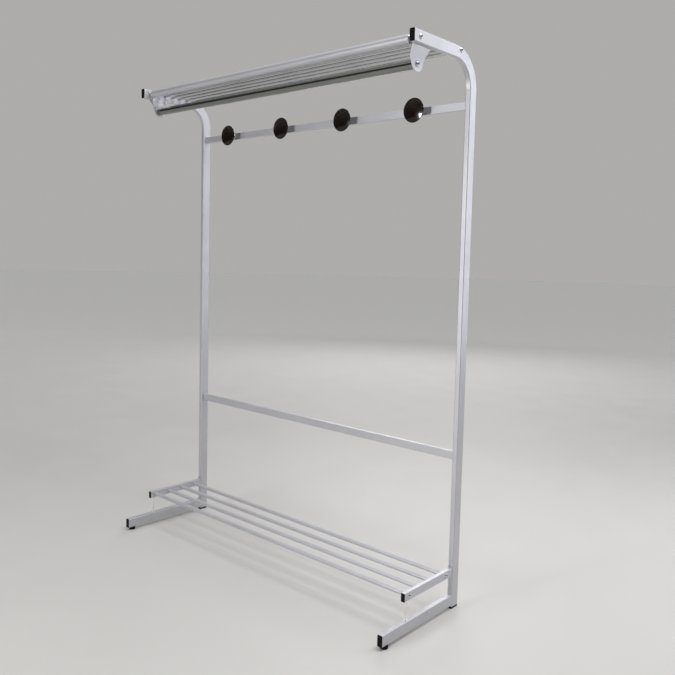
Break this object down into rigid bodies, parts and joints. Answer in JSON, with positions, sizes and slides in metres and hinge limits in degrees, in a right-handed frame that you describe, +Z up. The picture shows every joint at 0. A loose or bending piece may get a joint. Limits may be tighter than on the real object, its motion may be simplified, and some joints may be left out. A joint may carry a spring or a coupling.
{
  "type": "coat rack",
  "caption": "Free-standing cloakroom rack: bent tube side frames with hat shelf, hanging rail, hook bar with round knobs, shoe rack and two levelling glides.",
  "frame": {"origin": "on the floor at the middle of the rack's footprint", "axes": "+X along the rack to its right-hand frame, +Y to the back, where the uprights stand, +Z up"},
  "size_m": [1.5096, 0.45, 2],
  "materials": {
    "frame_paint": "smooth satin powder coat, light silver grey",
    "shelf_tube_metal": "chrome-plated thin tube",
    "rail_chrome": "bright chrome-plated tube",
    "stem_chrome": "bright plated turned steel",
    "cap_plastic": "black moulded polyethylene",
    "glide_plastic": "black moulded polyamide",
    "knob_plastic": "polished very dark brown phenolic",
    "screw_steel": "bright zinc-plated steel",
    "rod_steel": "bright zinc-plated steel",
    "plug_metal": "plain turned and milled aluminium"
  },
  "bodies": {
    "rack": {"arm_cap_left": "cap_plastic", "arm_cap_right": "cap_plastic", "bar_grub_screws": "screw_steel", "bar_spigots": "plug_metal", "bracket_screws": "screw_steel", "crossbar": "frame_paint", "foot_cap_left": "cap_plastic", "foot_cap_right": "cap_plastic", "foot_nuts": "screw_steel", "foot_tube_left": "frame_paint", "foot_tube_right": "frame_paint", "hanging_rail": "rail_chrome", "hanging_rail_screws": "screw_steel", "hook_bar": "frame_paint", "knob_1": "knob_plastic", "knob_2": "knob_plastic", "knob_3": "knob_plastic", "knob_4": "knob_plastic", "knob_screws": "screw_steel", "knob_stem_1": "stem_chrome", "knob_stem_2": "stem_chrome", "knob_stem_3": "stem_chrome", "knob_stem_4": "stem_chrome", "large_tube_plugs": "plug_metal", "rail_plate_left": "frame_paint", "rail_plate_right": "frame_paint", "shelf_bolts": "screw_steel", "shelf_front_tube": "frame_paint", "shelf_tube_1": "shelf_tube_metal", "shelf_tube_2": "shelf_tube_metal", "shelf_tube_3": "shelf_tube_metal", "shelf_tube_4": "shelf_tube_metal", "shelf_tube_5": "shelf_tube_metal", "shelf_tube_6": "shelf_tube_metal", "shelf_tube_spacers": "shelf_tube_metal", "shoe_rail_brackets": "frame_paint", "shoe_rail_cap_left": "cap_plastic", "shoe_rail_cap_right": "cap_plastic", "shoe_rail_left": "frame_paint", "shoe_rail_right": "frame_paint", "shoe_tube_1": "frame_paint", "shoe_tube_2": "frame_paint", "shoe_tube_3": "frame_paint", "shoe_tube_4": "frame_paint", "shoe_tube_screws": "screw_steel", "side_frame_left": "frame_paint", "side_frame_right": "frame_paint", "small_tube_plugs": "plug_metal", "spigot_screws": "screw_steel", "support_rod_left": "rod_steel", "support_rod_right": "rod_steel", "upright_cap_left": "cap_plastic", "upright_cap_right": "cap_plastic"},
    "glide_left": {"glide_pad_left": "glide_plastic", "glide_stud_left": "screw_steel"},
    "glide_right": {"glide_pad_right": "glide_plastic", "glide_stud_right": "screw_steel"}
  },
  "joints": [
    {"name": "glide_left_screw", "type": "slide", "parent": "rack", "child": "glide_left", "axis": [0, 0, -1], "range_m": [0, 0.01]},
    {"name": "glide_right_screw", "type": "slide", "parent": "rack", "child": "glide_right", "axis": [0, 0, -1], "range_m": [0, 0.01]}
  ]
}
